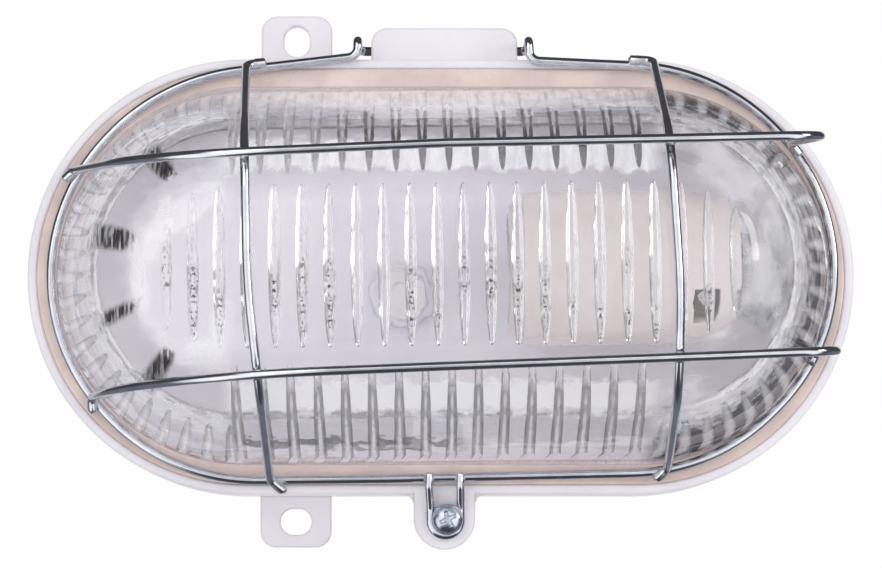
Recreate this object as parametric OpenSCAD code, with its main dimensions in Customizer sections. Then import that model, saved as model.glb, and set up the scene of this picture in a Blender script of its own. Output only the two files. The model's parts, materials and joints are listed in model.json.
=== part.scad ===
// Oval bulkhead light: a moulded base, a pressed prismatic glass on a rubber gasket,
// a porcelain lampholder, and a hinged wire guard held shut by one screw.
// Every piece is drawn looking at the light from the front: x to the right, y up and
// z out of the wall. on_wall() then stands the light up, with its back on the plane y = 0.

/* [Base] */
// Overall length of the base
base_l = 214.5; // [204:0.5:240]
// Overall height of the base, without its ears
base_h = 113.4; // [111:0.2:124]
// Depth of the base from the wall to its rim
base_d = 25; // [23:0.5:34]
// Thickness of the moulded walls
wall_t = 2.4; // [2:0.1:2.8]
// Thickness of the back plate
floor_t = 2.5; // [2:0.1:4]
// How much further out the back edge is than the rim
draft = 0.4; // [0.2:0.1:0.8]

/* [Fixing ears] */
// Distance of the ears' middle from the middle of the base
ear_x = -37.9; // [-44:0.1:-30]
// Width of an ear
ear_w = 18.6; // [16:0.1:24]
// Thickness of an ear
ear_t = 4; // [3:0.1:6]
// Reach of an ear past the base
ear_reach = 13.4; // [13:0.1:20]
// Width of a fixing slot
slot_w = 6.8; // [4:0.1:7.4]
// End to end length of a fixing slot
slot_l = 8.2; // [7.6:0.1:9.4]
// Distance from the base's edge to the middle of a slot
slot_out = 6.7; // [6.2:0.1:8]

/* [Hinge and fixing lug] */
// Distance of the hinge boss and the lug from the middle
fix_x = 0.9; // [-4:0.1:4]
// Width of the hinge boss
boss_w = 38; // [30:0.5:44]
// Reach of the hinge boss above the base
boss_rise = 8.3; // [7:0.1:11]
// How far the front of the hinge boss stays behind the rim
boss_back = 5; // [3:0.5:6]
// Height of the hinge axis above the base
hinge_rise = 2.8; // [2.6:0.1:3.6]
// How far the hinge axis lies behind the rim
hinge_back = 10; // [9.4:0.1:13]
// Width of the fixing lug
lug_w = 15.8; // [13:0.1:20]
// Distance of the screw's axis below the base
screw_drop = 6; // [5.6:0.1:8]

/* [Gasket] */
// Thickness of the gasket's lips
lip_t = 1.8; // [1.2:0.1:2.4]
// Thickness of the gasket's outer web
web_t = 1.6; // [1.2:0.1:2]
// Width of the upper lip that shows
lip_w = 5; // [4:0.1:6]
// Width of the lower lip, which lies under the flange of the glass
under_w = 5; // [4:0.1:7]

/* [Glass] */
// Thickness of the glass wall between its ribs
glass_t = 2.7; // [2.2:0.1:3.5]
// Thickness of the flange that the gasket grips
flange_t = 3.2; // [2.5:0.1:4]
// Height of the glass above the rim
glass_rise = 51.5; // [44:0.5:70]
// Height above the rim where the ribbed flank ends
flank_rise = 34; // [28:0.5:40]
// Inset of the flank's upper edge from the glass foot
flank_in = 11.6; // [8:0.2:13]
// Width of the smooth shoulder between the flank and the front
shoulder_w = 11; // [8:0.2:13]
// Radius of the rounded corner between the flank and the shoulder
flank_round = 12; // [6:0.5:14]
// Radius of the rounded corner between the shoulder and the front
front_round = 16; // [8:0.5:18]
// Height of the ribs inside the glass
rib_h = 1.1; // [0.6:0.1:1.6]
// Ribs along each straight flank
flank_ribs = 16; // [10:2:16]
// Ribs round each end
end_ribs = 23; // [13:1:25]
// Ribs on the front
front_ribs = 24; // [14:2:24]
// Distance from rib to rib along the straight part
rib_pitch = 6.55; // [6:0.05:7]
// How far the whole pattern of straight ribs sits to the right
rib_shift = 1.8; // [-2:0.1:2]

/* [Guard] */
// Diameter of the ring wire
ring_wire = 2.4; // [1.8:0.1:2.6]
// Diameter of the bar wire
bar_wire = 2.3; // [1.6:0.1:2.4]
// Diameter of the fixing loop's wire
loop_wire = 2.2; // [1.4:0.1:2.3]
// Space between the glass front and the bars
bar_gap = 4; // [3:0.1:8]

/* [Lampholder] */
// Diameter of the porcelain body
holder_dia = 41.6; // [38:0.1:44]
// Length of the porcelain body
holder_l = 58.5; // [50:0.5:62]
// Distance from the back of the holder to the end of the base's inside
holder_back = 19.5; // [17:0.1:24]
// Height of the lamp's axis above the middle of the base
holder_up = 1.5; // [0:0.1:3]
// Distance of the lamp's axis from the wall
holder_z = 28; // [27:0.1:32]
// Inner diameter of the screw shell
shell_dia = 26.6; // [26:0.1:27]
// Thickness of the mounting bracket
bracket_t = 1.2; // [1:0.1:2]

/* [Cable entry] */
// Place of the cable entry from the middle, along the light
entry_x = -10; // [-20:0.5:-9]
// Place of the cable entry from the middle, upwards
entry_y = -4; // [-8:0.5:8]
// Diameter of the grommet's bore
entry_dia = 7; // [4:0.5:8]

/* [Hidden] */
$fn = 96;

// Slack between parts that only touch
touch = 0.05;
// Height that the closed ring keeps off the gasket
ring_gap = 0.3;

// Half the length of the straight part, and the radii of the base's ends
half = (base_l - base_h) / 2;
back_r = base_h / 2;
rim_r = back_r - draft;
inner_r = rim_r - wall_t;
rim_round = 0.9;

// The gasket stands a touch proud of the rim
gasket_h = 2 * lip_t + flange_t;
gasket_z = base_d + 0.1;
seat_z = gasket_z - gasket_h;
seat_t = 2;
gasket_r = inner_r - touch;
foot_r = gasket_r - lip_w - touch;
seat_r = foot_r - 4;
seat_wall = 2;

// Corners of the glass section, from its foot to the middle of its front
glass_z = base_d + glass_rise;
flank_z = base_d + flank_rise;
flank_r = foot_r - flank_in;
front_r = flank_r - shoulder_w;
front_z = glass_z - 3.6;
groove_z = seat_z + lip_t;

hinge_y = back_r + hinge_rise;
hinge_z = base_d - hinge_back;
boss_d = base_d - boss_back;
screw_y = -back_r - screw_drop;
screw_x = fix_x + 0.8;
ring_z = gasket_z + ring_gap + ring_wire / 2;
bar_z = glass_z + bar_gap + bar_wire * 1.5;
bar_in_z = bar_z - bar_wire - touch;
screw_r = 1.65;
screw_slack = 0.45;
screw_in = 7;
head_r = 4;
head_h = 2.6;

holder_r = holder_dia / 2;
holder_end = half + seat_r - holder_back;
holder_x = holder_end - holder_l;
shell_t = 0.6;
shell_l = 24;
socket_depth = 31;
rivet_r = 1.8;
rivet_off = 7;
clamp_h = 4.6;
fixing_off = 10;
fixing_low = 6;
fixing_in = 8;
small_head = 2.8;
small_head_h = 1.8;
small_shank = 1.2;
post_h = 2;
bracket_w = 26;
bracket_foot = 13;

// Turns a piece drawn from the front to stand against the wall
module on_wall() rotate([90, 0, 0]) children();

// Sweeps a section, drawn as distance from the middle line and height, round the oval
module round_oval() {
    for (side = [-1, 1])
        translate([side * half, 0, 0])
            rotate([0, 0, -90 * side])
                rotate_extrude(angle = 180) children();
    for (side = [0, 1])
        mirror([0, side, 0])
            rotate([90, 0, 90])
                linear_extrude(2 * half, center = true) children();
}

function unit(v) = v / norm(v);
function at(p) = [p[0], p[1], p[2]];
function turn(a, b) = acos(max(-1, min(1, a * b)));
function frame(x, y, z, o) = [
    [x[0], y[0], z[0], o[0]],
    [x[1], y[1], z[1], o[1]],
    [x[2], y[2], z[2], o[2]],
    [0, 0, 0, 1]
];

// A round wire through points of the form [x, y, z, bend radius], made of straights and bends.
// The straights run a hair into the bends, which are a hair thinner, so that they join cleanly
module wire(path, dia) {
    last = len(path) - 1;
    hair = 0.06;
    heading = [for (i = [0 : last - 1]) unit(at(path[i + 1]) - at(path[i]))];
    angle = [for (i = [0 : last]) (i == 0 || i == last) ? 0 : turn(heading[i - 1], heading[i])];
    trim = [for (i = [0 : last]) path[i][3] * tan(angle[i] / 2)];
    for (i = [0 : last - 1]) {
        along = heading[i];
        across = unit(cross(along, abs(along[2]) < 0.8 ? [0, 0, 1] : [1, 0, 0]));
        start = at(path[i]) + along * (trim[i] - (i == 0 ? 0 : hair));
        run = norm(at(path[i + 1]) - start) - trim[i + 1] + (i == last - 1 ? 0 : hair);
        multmatrix(frame(across, cross(along, across), along, start))
            cylinder(h = run, d = dia);
    }
    for (i = [1 : last - 1])
        if (angle[i] > 0.01) {
            along = heading[i - 1];
            inward = unit(heading[i] - along * cos(angle[i]));
            centre = at(path[i]) - along * trim[i] + inward * path[i][3];
            multmatrix(frame(-inward, along, cross(-inward, along), centre))
                rotate_extrude(angle = angle[i])
                    translate([path[i][3], 0]) circle(d = dia - hair);
        }
}

// A leaf with two pointed ends, made where two circles overlap
module leaf(length, width) {
    r = (length * length + width * width) / (4 * width);
    intersection() {
        translate([r - width / 2, 0]) circle(r, $fn = 360);
        translate([width / 2 - r, 0]) circle(r, $fn = 360);
    }
}

// A slot with round ends, lying along x
module slot(length, width) {
    square([length - width, width], center = true);
    for (side = [-1, 1])
        translate([side * (length - width) / 2, 0]) circle(d = width);
}

// An upright tab with its two far corners rounded, standing on y = 0
module tab(width, height, corner) {
    translate([-width / 2, 0]) square([width, height - corner]);
    translate([-width / 2 + corner, 0]) square([width - 2 * corner, height]);
    for (side = [-1, 1])
        translate([side * (width / 2 - corner), height - corner]) circle(corner);
}

// Points of a corner at b rounded to radius r, on the way from a to c
function corner(a, b, c, r) =
    let (u = unit(b - a), v = unit(c - b), angle = turn(u, v), count = ceil(angle / 5))
    let (start = b - u * r * tan(angle / 2), inward = unit(v - u * cos(angle)))
    [for (k = [0 : count]) let (t = angle * k / count)
        start + inward * r * (1 - cos(t)) + u * r * sin(t)];

// Section of the base: back plate, gasket seat, hollow gutter and rim
module base_section() {
    gutter_r = seat_r + seat_wall;
    polygon([
        [0, 0], [gutter_r, 0], [gutter_r, seat_z - seat_t], [inner_r, seat_z - seat_t],
        [inner_r, 0], [back_r, 0], [rim_r, base_d - rim_round],
        [rim_r - rim_round * 0.29, base_d - rim_round * 0.29], [rim_r - rim_round, base_d],
        [inner_r + 0.3, base_d], [inner_r, base_d - 0.3],
        [inner_r, seat_z], [seat_r, seat_z], [seat_r, floor_t], [0, floor_t]
    ]);
}

// Stiffening ribs in the gutter behind the gasket seat
module gutter_ribs() {
    rib_t = 1.6;
    deep = inner_r - seat_r - seat_wall + 1;
    module rib(h) translate([seat_r + seat_wall - 0.5, -rib_t / 2, 1]) cube([deep, rib_t, h - 1]);
    for (side = [-1, 1], a = [-72 : 36 : 72])
        translate([side * half, 0, 0])
            rotate([0, 0, side > 0 ? a : 180 - a]) rib(seat_z - seat_t / 2);
    for (side = [-1, 1], x = [-half + 8, -half / 3 + 6, half / 3, half - 8])
        translate([x, 0, 0])
            rotate([0, 0, 90 * side]) rib(seat_z - seat_t / 2);
}

// The outline of the lug, or of the hollow behind it when it is drawn smaller
module lug_outline(inset) {
    translate([0, screw_y]) circle(lug_w / 2 - inset);
    translate([-lug_w / 2 + inset, screw_y])
        square([lug_w - 2 * inset, -screw_y - inner_r - wall_t / 2 - inset]);
}

// Ears, hinge boss and lug, as they join the base's outer wall
module base_outside() {
    root = inner_r + wall_t / 2;
    for (side = [-1, 1])
        scale([1, side, 1])
            translate([ear_x, root, 0])
                linear_extrude(ear_t) tab(ear_w, back_r - root + ear_reach, 4.2);
    translate([fix_x, root, 0])
        linear_extrude(boss_d) tab(boss_w, back_r - root + boss_rise, 4);
    translate([fix_x, 0, 0]) {
        linear_extrude(base_d) lug_outline(0);
        for (side = [-1, 1])
            translate([side * lug_w / 2, -root, 0])
                scale([side, -1, 1])
                    linear_extrude(base_d - rim_round)
                        difference() {
                            translate([-1, 0]) square([3.8, rim_r - root + 2.8]);
                            translate([2.8, rim_r - root + 2.8]) circle(2.8);
                        }
    }
}

module base() {
    entry_seat = entry_dia / 2 + 5;
    color("whitesmoke")
    on_wall()
    difference() {
        union() {
            round_oval() base_section();
            gutter_ribs();
            base_outside();
            translate([entry_x, entry_y, 0]) cylinder(r = entry_seat, h = floor_t + 2.5);
            for (side = [-1, 1])
                translate([holder_end + 8, holder_up + 7 * side, 0])
                    cylinder(r = 3.4, h = floor_t + post_h);
        }
        translate([ear_x, back_r + slot_out, -1])
            linear_extrude(ear_t + 2) rotate(90) slot(slot_l, slot_w);
        translate([ear_x, -back_r - slot_out, -1])
            linear_extrude(ear_t + 2) slot(slot_l, slot_w);
        // Hollow of the hinge boss, open to the wall
        translate([fix_x, back_r, -1])
            linear_extrude(boss_d - wall_t + 1) tab(boss_w - 2 * wall_t, boss_rise - wall_t, 2);
        translate([fix_x - boss_w / 2 - 1, hinge_y, hinge_z])
            rotate([0, 90, 0]) cylinder(d = ring_wire + 0.18, h = boss_w + 2);
        // Hollow of the lug round its screw post
        translate([fix_x, 0, -1])
            linear_extrude(base_d - 2)
                difference() {
                    intersection() {
                        lug_outline(wall_t - 0.2);
                        translate([-lug_w, -back_r - lug_w - screw_drop])
                            square([2 * lug_w, lug_w + screw_drop]);
                    }
                    translate([screw_x - fix_x, screw_y]) circle(screw_r + screw_slack + 1.9);
                }
        translate([screw_x, screw_y, base_d - screw_in - 3])
            cylinder(r = screw_r + screw_slack, h = screw_in + 4);
        // Cable entry with a recess behind for the grommet's flange
        translate([entry_x, entry_y, -1]) cylinder(r = entry_dia / 2 + 2, h = floor_t + 6);
        translate([entry_x, entry_y, -1]) cylinder(r = entry_dia / 2 + 3.7, h = 2.8);
        for (side = [-1, 1])
            translate([holder_end + 8, holder_up + 7 * side, 1])
                cylinder(r = 1.3, h = floor_t + post_h);
    }
}

module gasket() {
    color("tan")
    on_wall()
    round_oval()
        polygon([
            [gasket_r - under_w, seat_z], [gasket_r, seat_z], [gasket_r, gasket_z - 0.5],
            [gasket_r - 0.5, gasket_z], [foot_r + touch + 0.4, gasket_z],
            [foot_r + touch, gasket_z - 0.4], [foot_r + touch, gasket_z - lip_t],
            [gasket_r - web_t, gasket_z - lip_t], [gasket_r - web_t, groove_z],
            [gasket_r - under_w, groove_z]
        ]);
}

// The outside of the glass as a solid
module glass_outside() {
    foot = [foot_r - 1.1, gasket_z + 3.4];
    flank = [flank_r, flank_z];
    front = [front_r, front_z];
    brow = [front_r * 0.6, glass_z - 1];
    round_oval()
        polygon(concat(
            [
                [0, groove_z + touch], [gasket_r - web_t - touch, groove_z + touch],
                [gasket_r - web_t - touch, gasket_z - lip_t - touch],
                [foot_r, gasket_z - lip_t - touch], [foot_r, gasket_z + 0.6], foot
            ],
            corner(foot, flank, front, flank_round),
            corner(flank, front, brow, front_round),
            [brow, [front_r * 0.25, glass_z - 0.2], [0, glass_z]]
        ));
}

// The hollow of the glass, with the given thickness left as wall
module glass_hollow(t) {
    side_t = t * 1.04;
    round_oval()
        polygon([
            [0, groove_z - t], [foot_r - side_t, groove_z - t], [foot_r - side_t, gasket_z + 0.2],
            [foot_r - 1.1 - side_t, gasket_z + 3.2], [flank_r - side_t - 0.1, flank_z - t * 0.5],
            [front_r - t * 0.7, front_z - t], [front_r * 0.6, glass_z - t - 1],
            [0, glass_z - t]
        ]);
}

// Outlines of all the ribs, as the mould's plunger cuts them
module rib_outlines() {
    tip_y = front_r - 2.4;
    flank_leaf = 2 * (foot_r - tip_y);
    end_leaf = 2 * (foot_r - flank_r + 1);
    for (i = [0 : flank_ribs - 1], side = [-1, 1])
        translate([(i - flank_ribs / 2) * rib_pitch + rib_shift, side * foot_r])
            leaf(flank_leaf, 3.4);
    for (i = [0 : end_ribs - 1], side = [-1, 1])
        translate([side * half, 0])
            rotate((side > 0 ? -90 : 90) + 180 * (i + 0.5) / end_ribs)
                translate([foot_r, 0]) rotate(90) leaf(end_leaf, 4);
    for (i = [0 : front_ribs - 1]) {
        x = (i - (front_ribs - 1) / 2) * rib_pitch + rib_shift;
        past = max(0, abs(x) - half);
        if (past < front_r - 1.5)
            translate([x, 0]) leaf(1.64 * sqrt(front_r * front_r - past * past) - 4, 2.6);
    }
}

module glass() {
    color("aliceblue", 0.45)
    on_wall()
    difference() {
        glass_outside();
        glass_hollow(glass_t + rib_h);
        difference() {
            glass_hollow(glass_t);
            translate([0, 0, gasket_z]) linear_extrude(glass_rise + 5) rib_outlines();
        }
    }
}

module cable_grommet() {
    neck = entry_dia / 2 + 2 - touch;
    flange = entry_dia / 2 + 3.6;
    top = floor_t + 2.5;
    color("whitesmoke")
    on_wall()
    translate([entry_x, entry_y, 0])
    difference() {
        union() {
            translate([0, 0, 0.2]) cylinder(r = flange, h = 1.6 - touch);
            translate([0, 0, 0.2]) cylinder(r = neck, h = top + 1.5);
            translate([0, 0, top + touch]) cylinder(r1 = flange, r2 = flange - 0.8, h = 1.6);
        }
        translate([0, 0, -1]) cylinder(d = entry_dia, h = top + 5);
    }
}

// Places a piece drawn about the lamp's axis: its x is the axis, with x = 0 at the mouth
module on_lamp_axis() translate([holder_x, holder_up, holder_z]) children();

// Turns a round piece drawn along z to lie along the lamp's axis
module lamp_round() rotate([0, 90, 0]) children();

// The two terminals sit in pockets on opposite sides, turned this far from the front
terminal_turn = 31;
terminal_x = holder_l - 8.5;
module at_terminals(which = [0, 180]) {
    for (a = which)
        rotate([terminal_turn + a, 0, 0]) translate([terminal_x, 0, 0]) children();
}
pocket_z = holder_r - 7.5;

module lampholder_body() {
    edge = 3.4;
    color("antiquewhite")
    on_wall()
    on_lamp_axis()
    difference() {
        lamp_round()
            rotate_extrude()
                difference() {
                    union() {
                        square([holder_r - edge, holder_l]);
                        translate([0, edge]) square([holder_r, holder_l - edge - 1]);
                        translate([holder_r - edge, edge]) circle(edge);
                        square([holder_r - 1, holder_l]);
                    }
                    square([shell_dia / 2 + shell_t + 0.2, socket_depth]);
                    translate([holder_r - edge, -0.01]) square([edge + 1, edge]);
                }
        at_terminals() translate([-3.2, -4.8, pocket_z]) cube([6.4, 9.6, 10]);
        for (side = [-1, 1])
            translate([holder_l - fixing_in - 1, fixing_off * side, -fixing_low])
                lamp_round() cylinder(r = small_shank + 0.1, h = fixing_in + 2);
        translate([socket_depth - 1, 0, rivet_off]) lamp_round() cylinder(r = rivet_r + touch, h = 9);
    }
}

module screw_shell() {
    color("darkgoldenrod")
    on_wall()
    on_lamp_axis()
    translate([3, 0, 0])
    lamp_round()
        difference() {
            cylinder(d = shell_dia + 2 * shell_t, h = shell_l);
            translate([0, 0, -1]) cylinder(d = shell_dia, h = shell_l + 2);
        }
}

module centre_contact() {
    color("goldenrod")
    on_wall()
    on_lamp_axis()
    translate([socket_depth - 0.8 - touch, 0, 0]) {
        translate([0, -3, -3]) cube([0.8, 6, rivet_off + 6]);
        translate([-1.6, 0, 0]) lamp_round() cylinder(r1 = 1.6, r2 = 2.6, h = 1.7);
        translate([0, 0, rivet_off]) lamp_round() cylinder(r = rivet_r, h = 8);
    }
}

module shell_contact() {
    reach = 3 + shell_l + touch;
    color("goldenrod")
    on_wall()
    on_lamp_axis()
    translate([reach, -2, -shell_dia / 2 - shell_t])
        cube([socket_depth - reach - touch, 4, 2.4]);
}

module terminal() {
    difference() {
        translate([-2.6, -4, pocket_z + touch]) cube([5.2, 8, clamp_h]);
        translate([0, 2, pocket_z + 1]) cylinder(r = 1.25, h = 6);
        translate([-4, -2, pocket_z + 2.4]) rotate([0, 90, 0]) cylinder(r = 1.1, h = 8);
    }
}

module live_terminal() {
    color("gold") on_wall() on_lamp_axis() at_terminals([0]) terminal();
}

module neutral_terminal() {
    color("silver") on_wall() on_lamp_axis() at_terminals([180]) terminal();
}

module terminal_screws() {
    color("lightgray")
    on_wall()
    on_lamp_axis()
    at_terminals()
    translate([0, 2, pocket_z + clamp_h + 2 * touch])
    difference() {
        union() {
            cylinder(r = 2.1, h = 1.5);
            translate([0, 0, -3]) cylinder(r = 1.2, h = 3.1);
        }
        translate([-3, -0.3, 0.8]) cube([6, 0.6, 2]);
    }
}

module holder_bracket() {
    foot_z = floor_t + post_h + touch;
    color("silver")
    on_wall()
    difference() {
        union() {
            translate([holder_end + touch, holder_up - bracket_w / 2, foot_z])
                cube([bracket_t, bracket_w, holder_z + 11 - foot_z]);
            translate([holder_end + touch, holder_up - bracket_w / 2, foot_z])
                cube([bracket_foot, bracket_w, bracket_t]);
        }
        for (side = [-1, 1]) {
            translate([holder_end + 8, holder_up + 7 * side, 0]) cylinder(r = 1.7, h = 20);
            translate([holder_end - 5, holder_up + fixing_off * side, holder_z - fixing_low])
                rotate([0, 90, 0]) cylinder(r = small_shank + 0.3, h = 20);
        }
        translate([holder_end - 5, holder_up, holder_z]) rotate([0, 90, 0]) cylinder(r = 3, h = 20);
    }
}

// A pan head with a cross recess, its seat on z = 0 and its shank below
module pan_screw(head, height, shank, length) {
    difference() {
        union() {
            cylinder(r = head, h = height * 0.45);
            translate([0, 0, height * 0.45]) cylinder(r1 = head, r2 = head * 0.55, h = height * 0.55);
            translate([0, 0, -length]) cylinder(r = shank, h = length + 0.1);
        }
        for (a = [0, 90])
            rotate(a) translate([-head * 0.5, -head * 0.11, height * 0.5])
                cube([head, head * 0.22, height]);
    }
}

module holder_screws() {
    color("silver")
    on_wall()
    for (side = [-1, 1])
        translate([holder_end + bracket_t + 2 * touch, holder_up + fixing_off * side, 0])
            translate([0, 0, holder_z - fixing_low])
                rotate([0, 90, 0]) pan_screw(small_head, small_head_h, small_shank, fixing_in);
}

module bracket_screws() {
    color("silver")
    on_wall()
    for (side = [-1, 1])
        translate([holder_end + 8, holder_up + 7 * side, floor_t + post_h + bracket_t + 2 * touch])
            pan_screw(small_head, small_head_h, small_shank, 4.5);
}

// The guard follows the glass foot: places are measured from the centre of a round end,
// outward along the light and up, for a foot of 48.8
grow = foot_r / 48.8;
function from_end(side, x, y, z, bend) = [side * (half + x * grow), y * grow, z, bend];
knob_l = fix_x - boss_w / 2 - 3.5;
knob_r = fix_x + boss_w / 2 + 2.8;

// At each hook the wire rises past the hinge axis, turns back and enters the boss
module guard_ring() {
    hook = 2.4;
    hook_top = hinge_y + 1.8;
    hook_foot = hinge_y - 2.7;
    color("silver")
    on_wall()
    wire([
        [fix_x - boss_w / 2 + 4.5, hinge_y, hinge_z, 0],
        [knob_l, hinge_y, hinge_z, hook],
        [knob_l, hook_top, ring_z, 1.6],
        [knob_l, hook_foot, ring_z, 2.7],
        from_end(-1, 21.75, 50.75, ring_z, 55 * grow),
        from_end(-1, 50.1, 20.4, ring_z, 51.5 * grow),
        from_end(-1, 50.1, -20.25, ring_z, 51.3 * grow),
        from_end(-1, 19.65, -52.95, ring_z, 53 * grow),
        [-15, -52.4 * grow, ring_z, 300],
        from_end(1, 20.1, -50.5, ring_z, 53.5 * grow),
        from_end(1, 50.6, -19.5, ring_z, 49 * grow),
        from_end(1, 51.4, 21.1, ring_z, 51.5 * grow),
        from_end(1, 22.3, 53.35, ring_z, 52.8 * grow),
        [knob_r + 0.3, hook_foot - 1, ring_z, 2.7],
        [knob_r, hook_top, ring_z, 1.6],
        [knob_r, hinge_y, hinge_z, hook],
        [fix_x + boss_w / 2 - 4.5, hinge_y, hinge_z, 0]
    ], ring_wire);
}

// Height of a bar's end where it lies on the front of the ring, and where it lies on its
// outer shoulder
weld_z = ring_z + (ring_wire + bar_wire) / 2 + touch;
side_z = weld_z - 0.5;
tight = 2.2;

module guard_bar_upper() {
    color("silver")
    on_wall()
    wire([
        from_end(-1, 46.6, 24.6, side_z, 0),
        from_end(-1, 44, 26.9, weld_z, tight),
        [-half - 21.3 * grow, 25.7 * grow, bar_z, 46],
        [0, 28.9 * grow, bar_z, 200],
        [half + 42.6 * grow, 30.9 * grow, bar_z, 4.5],
        from_end(1, 39.5, 34.4, weld_z, tight),
        from_end(1, 42.2, 31.2, side_z, 0)
    ], bar_wire);
}

module guard_bar_lower() {
    color("silver")
    on_wall()
    wire([
        from_end(-1, 39, -35.2, side_z, 0),
        from_end(-1, 39.3, -31.5, weld_z, tight),
        [-half - 21.6 * grow, -28.7 * grow, bar_z, 62],
        [0, -25.7 * grow, bar_z, 200],
        [half + 46 * grow, -21.9 * grow, bar_z, 4.5],
        from_end(1, 46.2, -19.6, weld_z, tight),
        from_end(1, 44.9, -22.6, side_z, 0)
    ], bar_wire);
}

module guard_bar_left() {
    color("silver")
    on_wall()
    wire([
        from_end(-1, -5.2, 55.1, side_z, 0),
        from_end(-1, -0.2, 54.4, side_z, tight),
        from_end(-1, -1.8, 31, bar_in_z, 20),
        [-half + 2.6, -6, bar_in_z, 200],
        from_end(-1, -5.6, -31, bar_in_z, 20),
        from_end(-1, -6.6, -52.7, weld_z, tight),
        from_end(-1, -10.2, -55.6, side_z, 0)
    ], bar_wire);
}

module guard_bar_right() {
    color("silver")
    on_wall()
    wire([
        from_end(1, -1.8, 55.9, side_z, 0),
        from_end(1, 4.3, 55.6, side_z, tight),
        from_end(1, 5.2, 31, bar_in_z, 20),
        [half + 7.7, -6, bar_in_z, 200],
        from_end(1, 7.2, -31, bar_in_z, 20),
        from_end(1, 7.6, -49.7, weld_z, tight),
        from_end(1, 4.6, -52.6, side_z, 0)
    ], bar_wire);
}

module guard_loop() {
    on_ring = ring_z + (ring_wire + loop_wire) / 2 + touch;
    on_lug = base_d + loop_wire / 2 + ring_gap;
    low = screw_y - 4.3;
    left = -4.42;
    right = 3.32;
    edge = -52.2 * grow;
    color("silver")
    on_wall()
    translate([screw_x, 0, 0])
    wire([
        [left - 0.4, edge + 1.4, on_ring, 0],
        [left - 0.4, edge - 2.2, on_ring, 2],
        [left, screw_y + 2.6, on_lug, 3],
        [left, low, on_lug, 3.85],
        [right, low, on_lug, 3.85],
        [right, screw_y + 2.6, on_lug, 3],
        [right - 0.1, edge - 2.2, on_ring, 2],
        [right - 0.2, edge + 1.4, on_ring, 0]
    ], loop_wire);
}

module guard_screw() {
    seat = base_d + loop_wire + ring_gap + touch;
    color("lightsteelblue")
    on_wall()
    translate([screw_x, screw_y, seat])
        rotate(20) pan_screw(head_r, head_h, screw_r, seat - base_d + screw_in);
}

base();
gasket();
glass();
cable_grommet();
lampholder_body();
screw_shell();
centre_contact();
shell_contact();
live_terminal();
neutral_terminal();
terminal_screws();
holder_bracket();
holder_screws();
bracket_screws();
guard_ring();
guard_bar_upper();
guard_bar_lower();
guard_bar_left();
guard_bar_right();
guard_loop();
guard_screw();
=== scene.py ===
# Oval bulkhead light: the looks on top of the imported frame.
# Shapes are written as seen from the front, in millimetres: x to the right, y up,
# z out of the wall. at() turns them into the shared frame, in metres.
import json
import math

import bmesh
import bpy
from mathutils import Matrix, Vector, noise
from mathutils.geometry import delaunay_2d_cdt


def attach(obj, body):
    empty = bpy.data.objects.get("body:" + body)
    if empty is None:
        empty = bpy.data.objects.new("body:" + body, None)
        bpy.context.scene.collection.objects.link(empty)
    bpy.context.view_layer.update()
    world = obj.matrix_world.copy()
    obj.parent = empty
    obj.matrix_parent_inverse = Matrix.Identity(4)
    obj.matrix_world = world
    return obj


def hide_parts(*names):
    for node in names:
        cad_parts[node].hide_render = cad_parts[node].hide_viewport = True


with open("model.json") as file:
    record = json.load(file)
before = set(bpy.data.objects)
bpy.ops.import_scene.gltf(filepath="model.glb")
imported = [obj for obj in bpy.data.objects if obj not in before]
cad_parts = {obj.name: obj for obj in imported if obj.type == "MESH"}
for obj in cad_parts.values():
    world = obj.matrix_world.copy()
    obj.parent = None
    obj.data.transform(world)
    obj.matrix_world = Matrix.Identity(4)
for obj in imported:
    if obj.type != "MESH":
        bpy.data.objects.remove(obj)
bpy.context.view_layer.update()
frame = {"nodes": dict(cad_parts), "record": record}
nodes = frame["nodes"]
scene = bpy.context.scene

HALF = 50.55          # half the straight part of the oval
RING_Z = 26.6         # the middle of the guard's ring, in front of the wall
BASE_D = 25.0         # depth of the base


def at(x, y, z):
    """A point given in mm from the front, in the shared frame."""
    return Vector((x / 1000, -z / 1000, y / 1000))


def limited(value):
    return max(0.0, min(1.0, value))


# Camera and lights, with their places in metres in the shared frame
scene.view_settings.view_transform = "Standard"
scene.cycles.max_bounces = 16
scene.cycles.transmission_bounces = 14
scene.cycles.transparent_max_bounces = 16
scene.cycles.glossy_bounces = 6
scene.cycles.diffuse_bounces = 4

CAMERA_PLACE = (-0.0092, -1.083, -0.0666)
CAMERA_TARGET = (0.0, -0.025, -0.00207)
CAMERA_LENS = 167.4


def aim(obj, place, target):
    """Puts a camera or a lamp at its place, looking at its target."""
    scene.collection.objects.link(obj)
    obj.location = place
    obj.rotation_euler = (Vector(target) - Vector(place)).to_track_quat("-Z", "Y").to_euler()


def add_camera():
    data = bpy.data.cameras.new("camera")
    data.sensor_width = 36
    data.lens = CAMERA_LENS
    data.clip_start = 0.01
    data.clip_end = 50
    scene.camera = bpy.data.objects.new("camera", data)
    aim(scene.camera, CAMERA_PLACE, CAMERA_TARGET)


def add_lamp(name, place, target, size, power, colour=(1, 1, 1)):
    data = bpy.data.lights.new(name, "AREA")
    data.shape = "RECTANGLE"
    data.size, data.size_y = size
    data.energy = power
    data.color = colour
    aim(bpy.data.objects.new(name, data), place, target)


add_camera()
add_lamp("key", (1.35, -0.78, 0.42), (0, -0.03, 0), (0.45, 0.6), 5, (1.0, 0.96, 0.91))
add_lamp("fill", (-0.7, -1.25, 0.75), (0, -0.02, 0), (1.0, 0.9), 4)


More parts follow.
